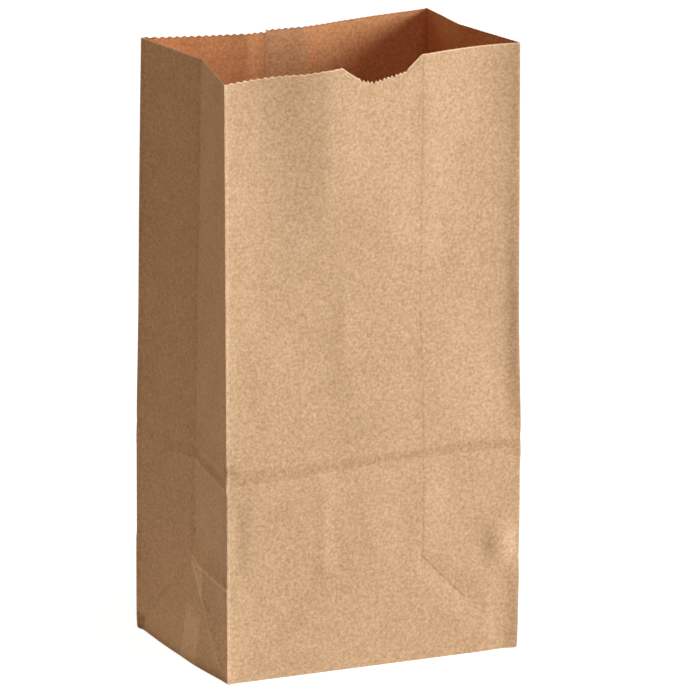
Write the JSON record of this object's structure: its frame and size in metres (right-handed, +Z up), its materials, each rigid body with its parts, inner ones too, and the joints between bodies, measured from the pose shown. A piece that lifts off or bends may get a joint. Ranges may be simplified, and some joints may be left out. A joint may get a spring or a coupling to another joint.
{
  "type": "paper lunch bag",
  "caption": "Small block-bottom kraft paper bag standing open, with side gussets, a pinked mouth, a thumb notch, a glued back seam and a folded bottom.",
  "frame": {"origin": "centre of the bag's footprint, on the surface it stands on", "axes": "+Z up towards the open mouth, -Y the front panel with the thumb notch, +X to the right as the front is looked at"},
  "size_m": [0.115, 0.0757, 0.2175],
  "materials": {
    "kraft_paper": "matt unbleached kraft with fine fibre mottle"
  },
  "bodies": {
    "root": {"paper_bag": "kraft_paper"}
  },
  "joints": []
}
